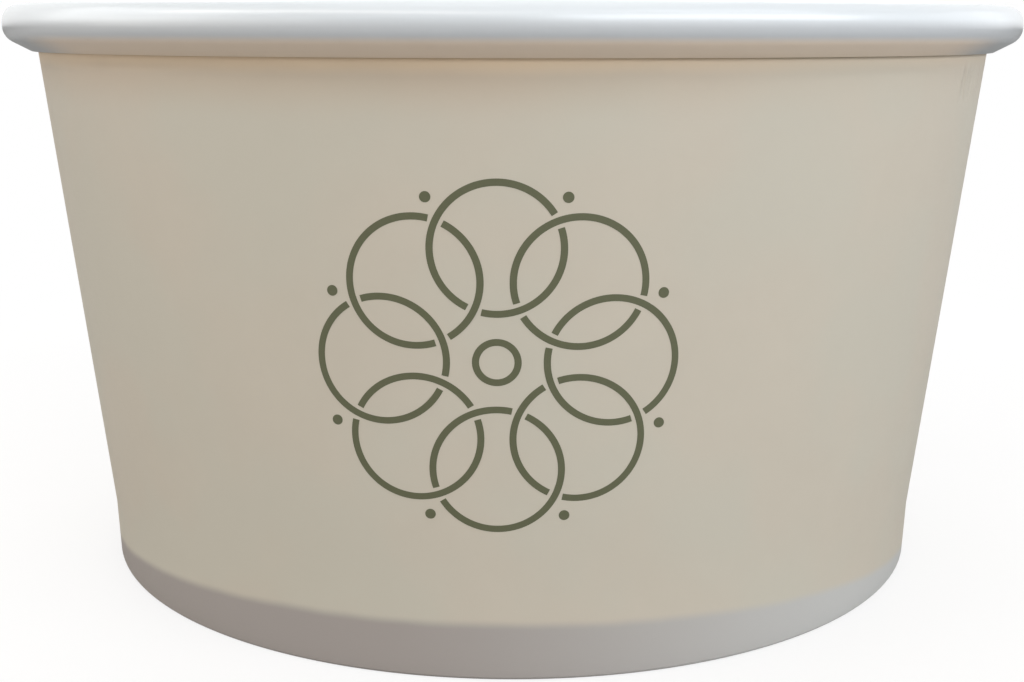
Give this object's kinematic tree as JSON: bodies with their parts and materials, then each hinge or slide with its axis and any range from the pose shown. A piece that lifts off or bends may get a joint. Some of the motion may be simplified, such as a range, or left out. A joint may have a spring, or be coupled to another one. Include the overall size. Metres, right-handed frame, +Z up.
{
  "type": "paper food bowl",
  "caption": "Round, squat paper food bowl: a tapered board wall with a rolled rim and a lapped side seam, folded at its foot around a recessed base.",
  "frame": {"origin": "centre of the foot's resting plane, on the bowl's axis", "axes": "+Z up along the bowl's axis, -Y towards the printed front, +Y towards the side seam"},
  "size_m": [0.116, 0.116, 0.0635],
  "materials": {
    "wall_board": "smooth coated board, beige printed outside and white inside",
    "base_board": "smooth coated white board"
  },
  "bodies": {
    "root": {"side_wall": "wall_board", "base_disc": "base_board"}
  },
  "joints": []
}
